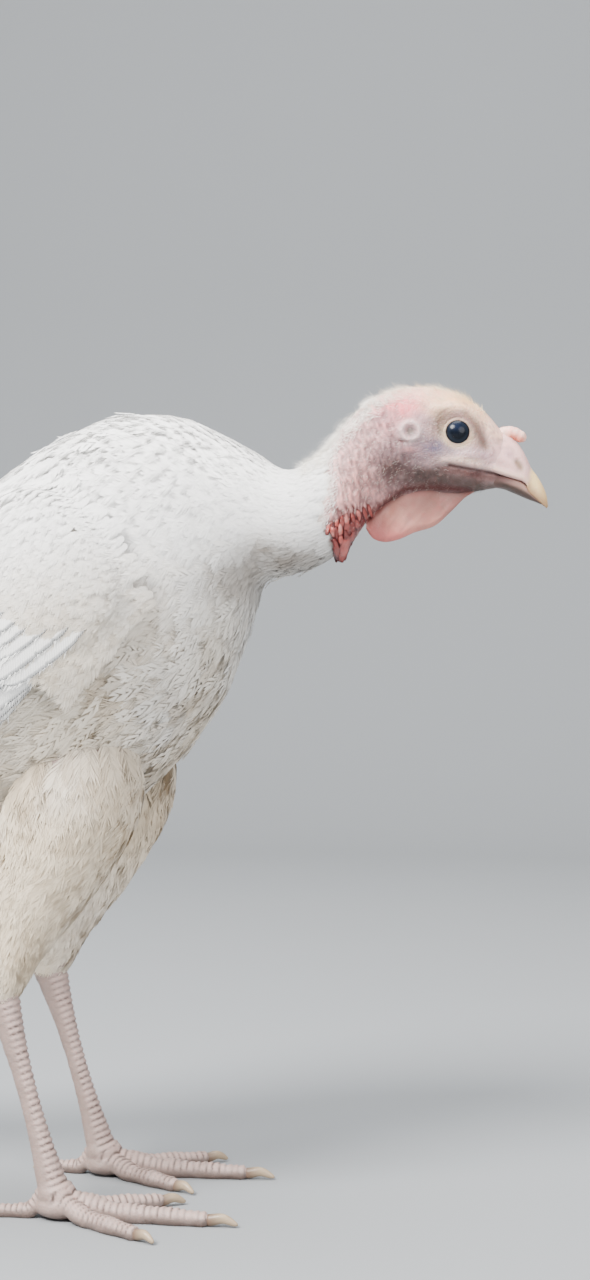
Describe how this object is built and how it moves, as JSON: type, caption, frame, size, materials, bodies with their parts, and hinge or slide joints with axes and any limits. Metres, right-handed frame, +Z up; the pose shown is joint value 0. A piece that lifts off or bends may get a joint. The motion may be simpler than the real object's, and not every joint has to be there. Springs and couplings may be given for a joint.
{
  "type": "domestic turkey",
  "caption": "Young white domestic turkey standing on both feet, life size, with folded wings, bare head and neck, throat wattle and short snood; a still display model.",
  "frame": {"origin": "on the floor, under the middle of the bird's outline seen from above", "axes": "+X is the way the body faces, +Y is the bird's left side, +Z is up"},
  "size_m": [0.4446, 0.1598, 0.3623],
  "materials": {
    "feathers": "soft white feathers, cream in the folds",
    "skin": "bare pink wrinkled skin with fine pale bristles",
    "wattle": "smooth salmon-pink soft skin, redder in its folds",
    "horn": "satin ivory horn",
    "leg": "satin pinkish grey scaly skin",
    "eye": "glossy wet dark eye"
  },
  "bodies": {
    "root": {"head": "skin", "neck_upper": "skin", "neck_lower": "feathers", "torso": "feathers", "bill_upper": "horn", "bill_lower": "horn", "eye_left": "eye", "eye_right": "eye", "snood": "wattle", "wattle": "wattle", "caruncles": "wattle", "wing_left": "feathers", "wing_right": "feathers", "tail": "feathers", "thigh_left": "feathers", "thigh_right": "feathers", "shank_left": "leg", "shank_right": "leg", "foot_left": "leg", "foot_right": "leg", "claw_left_inner": "horn", "claw_left_middle": "horn", "claw_left_outer": "horn", "claw_left_hind": "horn", "claw_right_inner": "horn", "claw_right_middle": "horn", "claw_right_outer": "horn", "claw_right_hind": "horn"}
  },
  "joints": []
}
